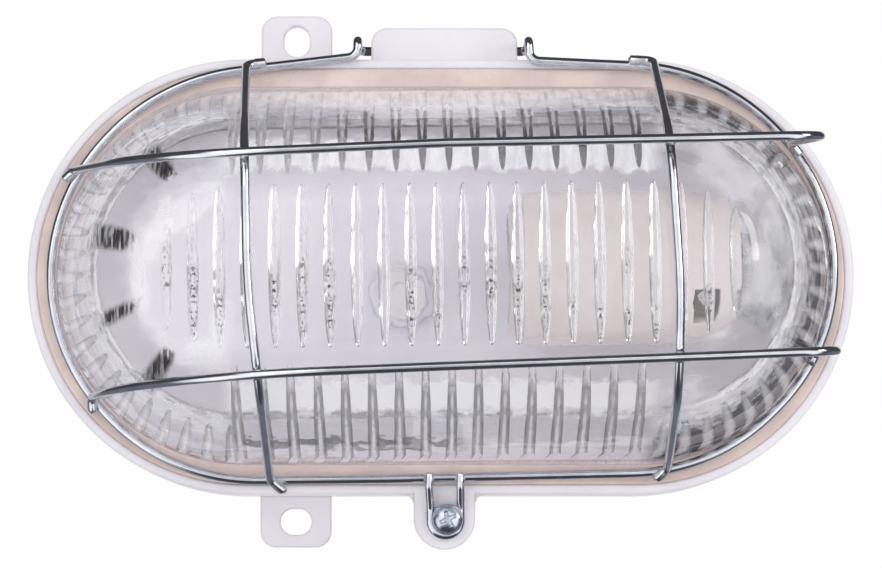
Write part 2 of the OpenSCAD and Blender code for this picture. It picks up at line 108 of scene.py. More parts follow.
class Graph:
    """A node tree under construction. main is its shader, whose inputs set() gives."""

    def __init__(self, tree, main):
        self.tree = tree
        self.main = tree.nodes[main]

    def add(self, kind, **settings):
        node = self.tree.nodes.new(kind)
        for key, value in settings.items():
            setattr(node, key, value)
        return node

    def put(self, socket, value):
        """Links a socket to another one, or sets it to a plain value."""
        if isinstance(value, bpy.types.NodeSocket):
            self.tree.links.new(value, socket)
        else:
            socket.default_value = value

    def fill(self, node, **inputs):
        for name, value in inputs.items():
            self.put(node.inputs[name], value)
        return node

    def set(self, name, value):
        self.put(self.main.inputs[name], value)

    def math(self, op, a, b=0.0):
        node = self.add("ShaderNodeMath", operation=op)
        self.put(node.inputs[0], a)
        self.put(node.inputs[1], b)
        return node.outputs[0]

    def chain(self, op, values):
        result, *others = values
        for value in others:
            result = self.math(op, result, value)
        return result

    def times(self, *values):
        return self.chain("MULTIPLY", values)

    def plus(self, *values):
        return self.chain("ADD", values)

    def highest(self, *values):
        return self.chain("MAXIMUM", values)

    def rest(self, value):
        return self.math("SUBTRACT", 1.0, value)

    def mix(self, fac, a, b):
        """Colour a where fac is 0 and colour b where it is 1."""
        node = self.add("ShaderNodeMix", data_type="RGBA")
        self.put(node.inputs["Factor"], fac)
        self.put(node.inputs[6], a)
        self.put(node.inputs[7], b)
        return node.outputs[2]

    def span(self, value, lo, hi, to_lo=0.0, to_hi=1.0):
        """A smooth step from to_lo, where value is lo, to to_hi, where it is hi."""
        node = self.add("ShaderNodeMapRange", interpolation_type="SMOOTHSTEP")
        for socket, number in zip(node.inputs[:5], (value, lo, hi, to_lo, to_hi)):
            self.put(socket, number)
        return node.outputs[0]

    def between(self, value, low, high, soft):
        """1 where value lies between low and high, with soft borders."""
        rising = self.span(value, low - soft, low + soft)
        falling = self.span(value, high - soft, high + soft, 1, 0)
        return self.times(rising, falling)

    def window(self, value, low, high, soft):
        """1 where value lies between two angles given in degrees."""
        return self.between(value, math.radians(low), math.radians(high), math.radians(soft))

    def band(self, value, low, high, soft):
        """1 where value lies between two lengths given in mm."""
        return self.between(value, low / 1000, high / 1000, soft / 1000)

    def coords(self, kind="Object"):
        return self.add("ShaderNodeTexCoord").outputs[kind]

    def scaled(self, vector, scale):
        return self.fill(self.add("ShaderNodeMapping"), Vector=vector, Scale=scale).outputs[0]

    def noise(self, vector, scale, detail=4.0, rough=0.5, warp=0.0):
        node = self.add("ShaderNodeTexNoise")
        self.fill(node, Vector=vector, Scale=scale, Detail=detail, Roughness=rough, Distortion=warp)
        return node.outputs["Fac"]

    def xyz(self, vector):
        return self.fill(self.add("ShaderNodeSeparateXYZ"), Vector=vector).outputs[:3]

    def light_path(self, kind):
        return self.add("ShaderNodeLightPath").outputs[kind]

    def mask(self, name):
        """A value that the mesh keeps at its points."""
        return self.add("ShaderNodeAttribute", attribute_name=name).outputs["Fac"]


def material(name):
    mat = bpy.data.materials.new(name)
    mat.use_nodes = True
    return mat, Graph(mat.node_tree, "Principled BSDF")


def show_instead(g, other, where):
    """Shows another shader in the place of the main one where the mask is 1."""
    blend = g.add("ShaderNodeMixShader")
    g.put(blend.inputs[0], where)
    g.put(blend.inputs[1], g.main.outputs[0])
    g.put(blend.inputs[2], other.outputs[0])
    g.put(g.tree.nodes["Material Output"].inputs["Surface"], blend.outputs[0])


# The studio. Each window is a lowest angle, a highest angle and a soft border in degrees,
# counted up from level or sideways from the front.
GROUND_UP, GROUND_BEHIND = (-95, -4, 8), (80, 190, 15)
FRONT_UP, FRONT_SIDEWAYS = (-21, 34, 7), (-74, 58, 8)
CAMERA_UP, CAMERA_SIDEWAYS = (-24, 16, 4), (-6.5, 4.0, 2)
BEHIND_UP, BEHIND_ASIDE = (-30, 22, 8), (150, 190, 8)
FLOOR_UP, CEILING_UP = (-95, -38, 8), (36, 95, 8)
RIGHT_UP, RIGHT_SIDEWAYS = (-60, 60, 10), (48, 128, 10)
WALL_UP, WALL_ASIDE = (-30, 30, 8), (150, 190, 8)


def directions(g, way):
    """The angles of a direction: up from level, to the right, and aside of the front."""
    x, y, z = g.xyz(way)
    sideways = g.math("ARCTAN2", x, g.times(y, -1.0))
    return g.math("ARCSINE", z), sideways, g.math("ABSOLUTE", sideways)


def studio(g, way):
    """What metal sees of the studio in each direction: a white front with the camera's dark
    place in it, white behind, nearly black overhead, dark grey below."""
    up, sideways, aside = directions(g, way)
    ground = g.mix(g.window(aside, *GROUND_BEHIND), (0.065, 0.065, 0.072, 1), (0.17, 0.18, 0.21, 1))
    seen = g.mix(g.window(up, *GROUND_UP), (0.062, 0.060, 0.068, 1), ground)
    droop = g.plus(up, g.times(aside, 0.5))
    front = g.times(g.window(droop, *FRONT_UP), g.window(sideways, *FRONT_SIDEWAYS))
    seen = g.mix(front, seen, (1.3, 1.3, 1.3, 1))
    camera = g.times(g.window(up, *CAMERA_UP), g.window(sideways, *CAMERA_SIDEWAYS), 0.72)
    seen = g.mix(camera, seen, (0.10, 0.10, 0.11, 1))
    behind = g.times(g.window(up, *BEHIND_UP), g.window(aside, *BEHIND_ASIDE))
    return g.mix(behind, seen, (1.0, 1.0, 1.0, 1))


def studio_through_glass(g, way):
    """What shows through the ribs of the glass: a pale room, dark overhead and to the right,
    and the wall behind the light."""
    up, sideways, aside = directions(g, way)
    seen = g.mix(g.window(up, *FLOOR_UP), (0.90, 0.88, 0.92, 1), (0.26, 0.24, 0.27, 1))
    seen = g.mix(g.window(up, *CEILING_UP), seen, (0.10, 0.09, 0.10, 1))
    right = g.times(g.window(sideways, *RIGHT_SIDEWAYS), g.window(up, *RIGHT_UP))
    seen = g.mix(right, seen, (0.07, 0.065, 0.07, 1))
    wall = g.times(g.window(aside, *WALL_ASIDE), g.window(up, *WALL_UP))
    return g.mix(wall, seen, (0.62, 0.60, 0.65, 1))


def seen_directly(g):
    """1 for rays that metal or glass sends straight on, before any dull surface."""
    bright = g.highest(g.light_path("Is Glossy Ray"), g.light_path("Is Transmission Ray"))
    return g.times(bright, g.math("LESS_THAN", g.light_path("Diffuse Depth"), 0.5))


def seen_colour(g, way):
    """The studio as metal sees it, or as it shows through the glass."""
    through = g.light_path("Is Transmission Ray")
    return g.mix(through, studio(g, way), studio_through_glass(g, way))


def make_world():
    """White where the camera looks at it, and an even soft grey level where it lights."""
    world = bpy.data.worlds.new("studio")
    scene.world = world
    world.use_nodes = True
    g = Graph(world.node_tree, "Background")
    seen = seen_colour(g, g.coords("Generated"))
    glow = g.mix(seen_directly(g), (0.82, 0.82, 0.835, 1), seen)
    g.set("Color", g.mix(g.light_path("Is Camera Ray"), glow, (1, 1, 1, 1)))
    g.set("Strength", 1.0)


make_world()


def mesh_object(name, verts, faces, mats):
    mesh = bpy.data.meshes.new(name)
    mesh.from_pydata([tuple(v) for v in verts], [], faces)
    mesh.validate()
    for mat in mats:
        mesh.materials.append(mat)
    mesh.shade_smooth()
    obj = bpy.data.objects.new(name, mesh)
    scene.collection.objects.link(obj)
    return obj


def sharpen(obj, degrees):
    obj.data.set_sharp_from_angle(angle=math.radians(degrees))


def pale_floor():
    """A pale dull floor. Metal and glass see the studio in its place."""
    mat, g = material("pale_floor")
    place = g.coords()
    tone = g.mix(g.noise(place, 2.0), (0.97, 0.97, 0.97, 1), (0.94, 0.94, 0.95, 1))
    g.set("Base Color", tone)
    g.set("Roughness", g.span(g.noise(place, 9.0), 0.3, 0.7, 0.85, 0.95))
    way = g.fill(g.add("ShaderNodeVectorMath", operation="NORMALIZE"), Vector=place)
    shown = g.fill(g.add("ShaderNodeEmission"), Color=seen_colour(g, way.outputs[0]))
    show_instead(g, shown, seen_directly(g))
    return mat


FLOOR_CORNERS = [(-6, -6, -0.25), (6, -6, -0.25), (6, 6, -0.25), (-6, 6, -0.25)]     # metres
floor = mesh_object("floor", FLOOR_CORNERS, [(0, 1, 2, 3)], [pale_floor()])


# Materials
def roughness(g, pattern, low, high):
    g.set("Roughness", g.span(pattern, 0.2, 0.8, low, high))


def relief(g, height, strength, distance=0.0002):
    """Fine relief on the surface. Returns its node, which takes the normal under it."""
    bump = g.fill(g.add("ShaderNodeBump"), Strength=strength, Distance=distance, Height=height)
    g.set("Normal", bump.outputs[0])
    return bump


def rounded_edges(g, bump, radius, samples):
    """Makes sharp edges under the relief look rounded."""
    bevel = g.fill(g.add("ShaderNodeBevel", samples=samples), Radius=radius)
    g.fill(bump, Normal=bevel.outputs[0])


# A painted shadow, tinted blue, on the floor of the base: lowest, highest and soft border in mm
PAINTED_SHADOW_X, PAINTED_SHADOW_Y = (-31, 21, 4), (-16, 25, 5)


def white_plastic():
    """Slightly smudged moulded plastic. A painted shadow, tinted blue, lies on the floor of the
    base and keeps off the back of the base.
    """
    white, shaded, smudged = (0.86, 0.83, 0.87, 1), (0.80, 0.77, 0.82, 1), (0.60, 0.57, 0.58, 1)
    bluish_shadow = (0.60, 0.60, 0.72, 1)
    mat, g = material("white_plastic")
    c = g.coords()
    tone = g.mix(g.span(g.noise(c, 38, 3), 0.3, 0.7), white, shaded)
    smudge = g.span(g.noise(c, 120, 6, 0.62, 0.6), 0.60, 0.80)
    tone = g.mix(g.times(smudge, 0.16), tone, smudged)
    x, toward_wall, y = g.xyz(c)
    # painted shadow, tinted blue, on the floor of the base in front of its back, broken up by noise
    painted_shadow = g.times(g.band(x, *PAINTED_SHADOW_X), g.band(y, *PAINTED_SHADOW_Y), g.span(toward_wall, -0.001, -0.003))
    cloud = g.span(g.noise(c, 60, 3), 0.3, 0.7, 0.2, 0.5)
    g.set("Base Color", g.mix(g.times(painted_shadow, cloud), tone, bluish_shadow))
    roughness(g, g.noise(c, 260, 4), 0.34, 0.52)
    height = g.plus(g.noise(c, 1400, 2), g.times(g.noise(c, 90, 2), 2.0))
    rounded_edges(g, relief(g, height, 0.12), 0.0009, samples=3)
    g.set("Specular IOR Level", 0.45)
    return mat


def tan_rubber():
    """Soft rubber with fine pores and a little dust."""
    deep, tan, dusty = (0.66, 0.545, 0.505, 1), (0.82, 0.69, 0.625, 1), (0.78, 0.70, 0.66, 1)
    mat, g = material("tan_rubber")
    c = g.coords()
    tone = g.mix(g.span(g.noise(c, 55, 4, 0.6), 0.35, 0.68), deep, tan)
    dust = g.span(g.noise(c, 700, 5, 0.7), 0.52, 0.75, 0, 0.35)
    g.set("Base Color", g.mix(dust, tone, dusty))
    roughness(g, g.noise(c, 300, 3), 0.55, 0.78)
    relief(g, g.noise(c, 1200, 4, 0.6), 0.35)
    return mat


def pale_rubber():
    mat, g = material("pale_rubber")
    c = g.coords()
    tone = g.mix(g.noise(c, 300, 4), (0.70, 0.68, 0.70, 1), (0.80, 0.78, 0.80, 1))
    g.set("Base Color", tone)
    roughness(g, g.noise(c, 500, 3), 0.55, 0.75)
    relief(g, g.noise(c, 1500, 3), 0.3)
    return mat


def porcelain():
    """Glazed porcelain with a few brown specks."""
    cream, shaded, brown = (0.745, 0.665, 0.645, 1), (0.67, 0.595, 0.57, 1), (0.45, 0.38, 0.29, 1)
    mat, g = material("porcelain")
    c = g.coords()
    tone = g.mix(g.span(g.noise(c, 45, 3), 0.3, 0.7), cream, shaded)
    speck = g.span(g.noise(c, 1900, 2), 0.70, 0.76, 0, 0.5)
    g.set("Base Color", g.mix(speck, tone, brown))
    roughness(g, g.noise(c, 200, 3), 0.14, 0.30)
    rounded_edges(g, relief(g, g.noise(c, 150, 3), 0.2, 0.0003), 0.0007, samples=4)
    g.set("Coat Weight", 0.6)
    g.set("Coat Roughness", 0.08)
    return mat


def metal(name, light, dark, rough, dents, wire):
    """Blotched metal. Its streaks run along a wire, or along the height of other parts."""
    mat, g = material(name)
    c = g.coords()
    if wire:
        streaks = g.noise(g.scaled(g.coords("UV"), (14, 0.35, 1)), 9, 4, 0.6)
    else:
        streaks = g.noise(g.scaled(c, (1, 1, 6)), 220, 4, 0.6)
    blotch = g.noise(c, 95, 4, 0.6)
    g.set("Base Color", g.mix(g.span(blotch, 0.35, 0.65), light, dark))
    g.set("Metallic", 1.0)
    streaked = g.span(streaks, 0.3, 0.7, *rough)
    g.set("Roughness", g.plus(streaked, g.span(blotch, 0.5, 0.8, 0, 0.06)))
    relief(g, g.plus(g.noise(c, 900, 3), streaks), dents)
    return mat


# Mould marks on the glass, painted dark as painted shade: angle from the long axis and half width, in
# degrees
MARKS = [(12.3, 5.2), (-21.4, 2.8), (52, 4.2), (-52, 4.0)]
MARK_SOFT = 1.8                    # degrees
MARK_BAND = (27.4, 36.4, 1.0)      # out from the middle line: lowest, highest, soft border
TURN_R = 42                        # where lengths round the ends are measured


class GlassPlaces:
    """Where a point lies on the glass, read from its place on the object, and masks for the
    parts of the glass. Lengths are in metres, angles in radians."""

    def __init__(self, g):
        self.g = g
        half = HALF / 1000
        self.x, _, self.y = g.xyz(g.coords())
        nearest = g.math("MINIMUM", g.highest(self.x, -half), half)
        past = g.math("ABSOLUTE", g.math("SUBTRACT", self.x, nearest))
        self.out = g.math("SQRT", g.plus(g.times(past, past), g.times(self.y, self.y)))
        self.angle = g.math("ARCTAN2", self.y, g.highest(past, 0.0001))
        turned = g.math("SUBTRACT", math.pi / 2, g.math("ABSOLUTE", self.angle))
        arc = g.times(turned, TURN_R / 1000, g.math("SIGN", self.x))
        self.along = g.plus(nearest, arc)
        self.flank = g.span(self.out, 0.031, 0.041)
        self.ends = g.span(g.math("ABSOLUTE", self.x), half, half + 0.006)
        self.sides = g.rest(self.ends)
        self.upper = g.math("GREATER_THAN", self.angle, 0.0)
        self.lower = g.rest(self.upper)
        self.right = g.span(self.x, 0.0, 0.012)
        self.left = g.rest(self.right)
        self.inside = g.mask("inside")
        self.rib = g.mask("rib")
        self.gap = g.times(self.inside, g.rest(self.rib))
        self.edge = g.span(g.times(self.rib, g.rest(self.rib), 4.0), 0.10, 0.65)
        self.ragged = self.uneven_out(260, 0.0010)

    def uneven_out(self, scale, depth):
        """The distance out from the middle line, with an uneven border drawn into it."""
        shift = self.g.span(self.g.noise(self.g.coords(), scale, 3), 0.3, 0.7, -depth, depth)
        return self.g.plus(self.out, shift)

    def zone(self, low, high, soft, strength, *masks):
        """A zone from low to high mm out from the middle line, with a soft and uneven border,
        within all the masks."""
        return self.g.times(*masks, self.g.band(self.ragged, low, high, soft), strength)


def mould_marks_painted_dark(g, p):
    """The marks that the mould left on the left shoulder of the glass, which also carry painted shade."""
    left_end = g.math("LESS_THAN", p.x, -HALF / 1000)
    marks_painted_dark = [g.window(p.angle, middle - wide, middle + wide, MARK_SOFT) for middle, wide in MARKS]
    return g.times(g.plus(*marks_painted_dark), left_end, g.band(p.uneven_out(330, 0.0012), *MARK_BAND))


def painted_highlight_zones(g, p):
    """How white the ribs and the gaps between them show, as painted highlights in place of refraction."""
    streaks = g.noise(g.scaled(g.coords(), (1, 0.25, 0.25)), 420, 3)
    cloud = g.span(g.noise(g.coords(), 70, 3), 0.42, 0.62)
    upper_gaps = g.span(streaks, 0.3, 0.7, 0.60, 0.95)
    upper_rim = g.span(streaks, 0.35, 0.65, 0.22, 0.60)
    right_cloud = g.span(cloud, 0.0, 1.0, 0.03, 0.26)
    left_cloud = g.span(cloud, 0.0, 1.0, 0.02, 0.30)
    # each zone is a painted highlight
    return g.plus(
        p.zone(23.0, 30.0, 0.9, upper_gaps, p.gap, p.sides, p.upper),
        g.times(p.inside, p.sides, p.upper, g.band(p.out, 39.6, 48.0, 0.8), upper_rim),
        p.zone(25.0, 37.0, 2.5, right_cloud, p.ends, p.right),
        p.zone(-1.0, 26.0, 2.0, left_cloud, p.ends, p.left),
        p.zone(27.5, 34.8, 1.2, 0.65, p.gap, p.sides, p.lower),
        p.zone(37.8, 39.8, 0.7, 0.30, p.ends),
        p.zone(40.0, 47.0, 1.0, 0.35, p.inside, p.rib, p.ends))


def painted_shade_zones(g, p):
    """How dark the borders of the ribs and the gaps between them show, as painted shade in place of
    refraction.
    """
    toward_right = g.span(p.x, -0.045, 0.004, 0.45, 1.25)
    inner_edges = g.times(toward_right, 0.62)
    # each zone is painted shade
    return g.plus(
        p.zone(29.5, 38.8, 1.2, toward_right, p.edge, p.sides, p.upper),
        p.zone(22.4, 29.5, 1.2, inner_edges, p.edge, p.sides, p.upper),
        p.zone(28.0, 43.0, 2.0, 0.72, p.edge, p.sides, p.lower),
        p.zone(31.0, 38.2, 0.8, 0.45, p.gap, p.sides, p.upper),
        p.zone(35.5, 41.0, 1.0, 0.32, p.gap, p.sides, p.lower),
        p.zone(40.6, 42.8, 0.4, 0.80, p.gap, p.sides, p.lower, p.left),
        p.zone(40.5, 50.0, 1.0, 0.20, p.ends, p.right),
        p.zone(28.0, 36.5, 1.2, 0.20, p.ends, p.left),
        p.zone(40.4, 46.4, 1.2, 0.88, p.gap, p.ends, p.right),
        p.zone(41.0, 46.0, 2.0, 0.36, p.gap, p.ends, p.left))


def painted_shade_specks(g, p):
    """Painted shade in dark specks on the front ribs, more of them toward the bottom."""
    dots = g.span(g.noise(g.coords(), 1300, 2), 0.53, 0.58)
    groups = g.span(g.noise(g.coords(), 60, 2), 0.42, 0.54)
    front = g.span(p.out, 0.0215, 0.0200)
    downward = g.span(p.y, 0.010, -0.004, 0.25, 1.0)
    return g.times(dots, groups, p.rib, front, downward)


def flank_streaks(g, p):
    """Fine fibres and coarser streaks that run out across the flank of the glass."""
    place = g.add("ShaderNodeCombineXYZ")
    g.put(place.inputs[0], p.along)
    g.put(place.inputs[1], g.times(p.out, 0.07))
    g.put(place.inputs[2], g.times(g.math("SIGN", p.angle), 0.3))
    return g.noise(place.outputs[0], 1300, 3, 0.6), g.noise(place.outputs[0], 420, 4, 0.7)


def glass_height(g, p, fibre, streak, marks_painted_dark):
    """The relief of the glass: soft waves, fibres on the flank, marks and rough ribs."""
    c = g.coords()
    return g.plus(
        g.times(g.noise(c, 75, 2), 2.2),
        g.times(g.noise(c, 420, 3, 0.6), 0.10),
        g.times(fibre, p.flank, 0.10),
        g.times(streak, marks_painted_dark, 0.8),
        g.times(g.noise(g.scaled(c, (1, 1, 0.4)), 1500, 3, 0.7), p.rib, 0.42))


def glass_milk(g, p, fibre, marks_painted_dark, white, shade):
    """How much of the glass is dull instead of clear. The painted highlights and painted shade are drawn
    dull too.
    """
    fibres = g.times(g.span(fibre, 0.35, 0.7, 0.03, 0.11), p.flank)
    less_at_right = g.span(p.x, 0.045, 0.060, 1.0, 0.35)
    dull_shade = g.span(shade, 0.45, 1.0, 0.0, 0.80)
    # white carries the painted highlights and dull_shade the painted shade, both drawn as dull glass
    return g.highest(g.times(fibres, less_at_right), g.times(p.rib, 0.03), g.times(marks_painted_dark, 0.55),
                     white, dull_shade)


def glass_tone(g, marks_painted_dark, shade):
    """Nearly clear, with painted shade: dark and finely streaked on the mould marks, and dark where the
    ribs' painted shade lies.
    """
    c = g.coords()
    tint = g.mix(g.span(g.noise(c, 20, 2), 0.3, 0.7), (0.985, 0.985, 0.995, 1), (0.96, 0.96, 0.985, 1))
    lines = g.noise(g.scaled(c, (1, 0.1, 0.12)), 1250, 2)
    painted_dark_lines = g.times(marks_painted_dark, g.span(lines, 0.38, 0.55, 0.35, 1.0))
    # painted shade: the mould marks drawn nearly black with fine dark lines
    tone = g.mix(painted_dark_lines, tint, (0.06, 0.055, 0.06, 1))
    # painted shade of the ribs and gaps, nearly black
    return g.mix(shade, tone, (0.022, 0.020, 0.022, 1))


def clear_glass():
    """Pressed glass: clear in front, with a milky, finely streaked flank and rough ribs, and with
    the light and dark of refraction drawn on as painted highlights and painted shade. It
    lets shadow rays and diffuse rays pass straight."""
    mat, g = material("clear_glass")
    p = GlassPlaces(g)
    marks_painted_dark = mould_marks_painted_dark(g, p)
    shade = g.highest(painted_shade_zones(g, p), painted_shade_specks(g, p))
    fibre, streak = flank_streaks(g, p)
    relief(g, glass_height(g, p, fibre, streak, marks_painted_dark), 0.5, 0.0004)
    milk = glass_milk(g, p, fibre, marks_painted_dark, painted_highlight_zones(g, p), shade)
    g.set("Transmission Weight", g.math("SUBTRACT", 0.96, milk))
    g.set("Base Color", glass_tone(g, marks_painted_dark, shade))
    rough = g.span(g.noise(g.coords(), 160, 3), 0.35, 0.8, 0.0, 0.035)
    g.set("Roughness", g.plus(rough, g.times(p.flank, 0.012)))
    g.set("IOR", 1.5)
    clear = g.fill(g.add("ShaderNodeBsdfTransparent"), Color=(0.97, 0.97, 0.98, 1))
    show_instead(g, clear, g.highest(g.light_path("Is Shadow Ray"), g.light_path("Is Diffuse Ray")))
    return mat


MATS = {make.__name__: make() for make in (white_plastic, tan_rubber, clear_glass, pale_rubber, porcelain)}
# Metals: light and dark tone, lowest and highest roughness, depth of the dents
METALS = {
    "brass": ((0.78, 0.60, 0.28, 1), (0.68, 0.49, 0.21, 1), (0.18, 0.32), 0.12),
    "spring_brass": ((0.80, 0.63, 0.32, 1), (0.70, 0.53, 0.25, 1), (0.22, 0.36), 0.12),
    "nickel_plate": ((0.92, 0.90, 0.90, 1), (0.84, 0.82, 0.82, 1), (0.38, 0.55), 0.12),
    "zinc_plate": ((0.62, 0.64, 0.67, 1), (0.52, 0.54, 0.58, 1), (0.24, 0.40), 0.12),
    "zinc_wire": ((0.72, 0.74, 0.78, 1), (0.60, 0.62, 0.68, 1), (0.10, 0.20), 0.06),
    "zinc_screw": ((0.66, 0.71, 0.79, 1), (0.52, 0.58, 0.68, 1), (0.18, 0.34), 0.12),
    "weld_zinc": ((0.66, 0.66, 0.66, 1), (0.48, 0.48, 0.50, 1), (0.34, 0.55), 0.5),
    "dull_brass": ((0.26, 0.20, 0.13, 1), (0.14, 0.11, 0.08, 1), (0.35, 0.55), 0.12),
    # bare steel of the cut wire ends, also used as painted shade on the ring's ends by the hinge boss
    "cut_steel_and_painted_shade": ((0.16, 0.15, 0.15, 1), (0.09, 0.08, 0.08, 1), (0.35, 0.5), 0.3),
}
for name, looks in METALS.items():
    MATS[name] = metal(name, *looks, wire=name == "zinc_wire")

TARNISHED = ("live_terminal", "neutral_terminal")
for entry in frame["record"]["subparts"]:
    finish = "dull_brass" if entry["node"] in TARNISHED else entry["material_slot"]
    for slot in nodes[entry["node"]].material_slots:
        slot.material = MATS[finish]


# Wires. Their paths are [x, y, z, bend radius].
BEND_STEP, BEND_TURN, BEND_LEAST = 2.5, 7, 5     # in a bend: longest step and turn, fewest steps
WIRE_SIDES = 20
WIRE_STEP = 2.4           # distance between the rings of points along a wire
WIRE_WOBBLE = 0.05        # how far a wire strays from its path
WOBBLE_EASE = 12.0        # the length over which that fades at both ends
WOBBLE_SCALE = 0.035
UV_LENGTH = 25.0          # the length of wire for one unit of its UV map
# A sheared end: distance in from the end and radius, as shares of the wire's radius
SHEARED_END = [(0.0, 0.72), (0.12, 0.93), (0.35, 1.0)]


def bend_route(path):
    """Points along straights and bends."""
    p = [Vector(v[:3]) for v in path]
    route = [p[0].copy()]
    for i in range(1, len(p) - 1):
        a, b = (p[i] - p[i - 1]).normalized(), (p[i + 1] - p[i]).normalized()
        angle = a.angle(b, 0.0)
        if angle < 0.001:
            continue
        r = path[i][3]
        inward = (b - a * math.cos(angle)).normalized()
        centre = p[i] - a * (r * math.tan(angle / 2)) + inward * r
        count = max(BEND_LEAST, int(angle * r / BEND_STEP), int(math.degrees(angle) / BEND_TURN))
        for k in range(count + 1):
            t = angle * k / count
            route.append(centre - inward * r * math.cos(t) + a * r * math.sin(t))
    route.append(p[-1].copy())
    return route


def even_route(route, step):
    """The same route with points close together along its straights too."""
    out = [route[0]]
    for a, b in zip(route, route[1:]):
        count = max(1, int((b - a).length / step))
        for k in range(1, count + 1):
            out.append(a.lerp(b, k / count))
    return out


def lengths_along(points):
    lengths = [0.0]
    for a, b in zip(points, points[1:]):
        lengths.append(lengths[-1] + (b - a).length)
    return lengths


def wobbled(points, seed):
    """The route with a slight uneven waver, which fades toward both ends."""
    lengths = lengths_along(points)
    moved = []
    for p, s in zip(points, lengths):
        ease = min(1.0, s / WOBBLE_EASE, (lengths[-1] - s) / WOBBLE_EASE)
        x, y = (noise.noise((s * WOBBLE_SCALE, seed, row)) for row in (0, 5))
        moved.append(p + Vector((x, y, 0)) * WIRE_WOBBLE * ease)
    return moved


def wire_rings(points, radius):
    """Rings along a route: centre, direction, two directions across it, and radius."""
    last = len(points) - 1
    ways = [(points[min(last, i + 1)] - points[max(0, i - 1)]).normalized() for i in range(last + 1)]
    up = Vector((0, 0, 1)) if abs(ways[0].z) < 0.8 else Vector((1, 0, 0))
    side = ways[0].cross(up).normalized()
    rings = []
    for p, way in zip(points, ways):
        side = (side - way * side.dot(way)).normalized()
        rings.append((p, way, side.copy(), way.cross(side), radius))
    return rings


def sheared(ring, inward):
    """The rings of a sheared end, from the end inward. inward is 1 or -1."""
    p, way, side, other, radius = ring
    return [(p + way * inward * (depth * radius), way, side, other, radius * share)
            for depth, share in SHEARED_END]


def ring_faces(rows, sides):
    """Faces between rows of points that each go once round."""
    faces = []
    for i in range(rows - 1):
        for k in range(sides):
            a, b = i * sides + k, i * sides + (k + 1) % sides
            faces.append((a, b, b + sides, a + sides))
    return faces


def tube(name, route, dia, seed, dull):
    """A drawn wire: a round tube with a slightly uneven line and rounded, sheared ends. Its end
    faces show dark cut steel, and the given length at both ends is painted dark as painted shade."""
    rings = wire_rings(wobbled(even_route(route, WIRE_STEP), seed), dia / 2)
    rings = sheared(rings[0], 1) + rings[1:-1] + sheared(rings[-1], -1)[::-1]
    lengths = lengths_along([ring[0] for ring in rings])
    verts, uvs = [], []
    for (p, _, side, other, r), s in zip(rings, lengths):
        for k in range(WIRE_SIDES):
            t = 2 * math.pi * k / WIRE_SIDES
            verts.append(at(*(p + (side * math.cos(t) + other * math.sin(t)) * r)))
            uvs.append((k / WIRE_SIDES, s / UV_LENGTH))
    faces = ring_faces(len(rings), WIRE_SIDES)
    faces.append(tuple(reversed(range(WIRE_SIDES))))
    faces.append(tuple(range(len(verts) - WIRE_SIDES, len(verts))))
    obj = mesh_object(name, verts, faces, [MATS["zinc_wire"], MATS["cut_steel_and_painted_shade"]])
    layer = obj.data.uv_layers.new(name="wire")
    for poly in obj.data.polygons:
        for corner, vertex in zip(poly.loop_indices, poly.vertices):
            layer.data[corner].uv = uvs[vertex]
        reach = lengths[poly.vertices[0] // WIRE_SIDES]
        # end faces are cut steel; the dull length at both ends is painted shade
        if len(poly.vertices) > 4 or min(reach, lengths[-1] - reach) < dull:
            poly.material_index = 1
    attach(obj, "guard")
    return obj


FIX_X, BOSS_W = 0.9, 38.0                   # the hinge boss: its middle and width
HINGE_Y, HINGE_Z = 59.5, 15.0
HOOK_Y = HINGE_Y + 1.8
WELD_Z, SIDE_Z = 29.0, 28.5                 # bars where they meet the ring
BAR_Z, BAR_IN_Z = 83.95, 81.6               # long bars, and upright bars under them
KNOB_L, KNOB_R = FIX_X - BOSS_W / 2 - 3.5, FIX_X + BOSS_W / 2 + 2.8
RING_WIRE, BAR_WIRE, LOOP_WIRE = 2.4, 2.3, 2.2
SCREW_X, SCREW_Y = 1.7, -62.7
ON_RING, ON_LUG = 28.95, 26.4               # the loop where it lies on the ring and the lug
LOOP_L, LOOP_R, LOOP_LOW, LOOP_EDGE = -4.42, 3.32, SCREW_Y - 4.3, -52.2


def on_oval(rows):
    """A path from rows of side, x, y, z and bend radius. Where side is -1 or 1, x is counted
    outward from the left or right end of the straights."""
    return [(side * (HALF + x) if side else x, y, z, bend) for side, x, y, z, bend in rows]


RING_PATH = on_oval([
    (0, FIX_X - BOSS_W / 2 + 4.5, HINGE_Y, HINGE_Z, 0), (0, KNOB_L, HINGE_Y, HINGE_Z, 2.4),
    (0, KNOB_L, HOOK_Y, RING_Z, 1.6), (0, KNOB_L, HINGE_Y - 2.7, RING_Z, 2.7),
    (-1, 21.75, 50.75, RING_Z, 55), (-1, 50.1, 20.4, RING_Z, 51.5),
    (-1, 50.1, -20.25, RING_Z, 51.3), (-1, 19.65, -52.95, RING_Z, 53),
    (0, -15, -52.4, RING_Z, 300), (1, 20.1, -50.5, RING_Z, 53.5),
    (1, 50.6, -19.5, RING_Z, 49), (1, 51.4, 21.1, RING_Z, 51.5),
    (1, 22.3, 53.35, RING_Z, 52.8), (0, KNOB_R + 0.3, HINGE_Y - 3.7, RING_Z, 2.7),
    (0, KNOB_R, HOOK_Y, RING_Z, 1.6), (0, KNOB_R, HINGE_Y, HINGE_Z, 2.4),
    (0, FIX_X + BOSS_W / 2 - 4.5, HINGE_Y, HINGE_Z, 0)])
UPPER_PATH = on_oval([
    (-1, 46.6, 24.6, SIDE_Z, 0), (-1, 44, 26.9, WELD_Z, 2.2),
    (-1, 21.3, 25.7, BAR_Z, 46), (0, 0, 28.9, BAR_Z, 200), (1, 43.5, 30.9, BAR_Z, 9),
    (1, 39.5, 34.4, WELD_Z, 2.2), (1, 42.2, 31.2, SIDE_Z, 0)])
